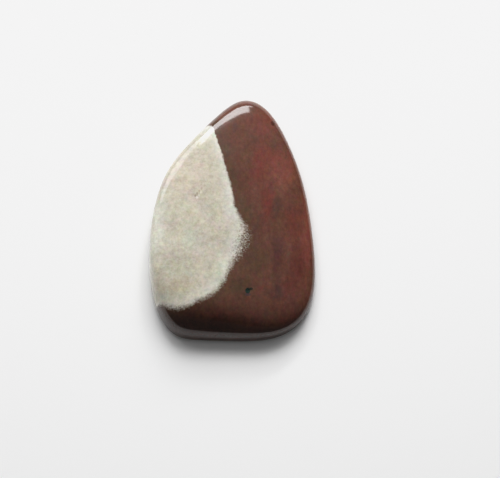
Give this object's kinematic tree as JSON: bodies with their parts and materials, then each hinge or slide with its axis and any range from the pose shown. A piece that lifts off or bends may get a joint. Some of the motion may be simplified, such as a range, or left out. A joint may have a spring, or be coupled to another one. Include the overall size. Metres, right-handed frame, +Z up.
{
  "type": "porcellanite",
  "caption": "Tumbled porcellanite pebble: a flat egg-shaped stone, polished all over, with a cream patch on chocolate brown, lying on a small flat spot.",
  "frame": {"origin": "in the resting plane, under the middle of the stone's bounding box", "axes": "+Z up from the resting plane through the stone's thickness, +Y along its length towards the narrow end, +X across its width"},
  "size_m": [0.0156, 0.0232, 0.0036],
  "materials": {
    "polished_porcellanite": "tumble-polished, glossy, chocolate brown with a cream patch"
  },
  "bodies": {
    "root": {"stone": "polished_porcellanite"}
  },
  "joints": []
}
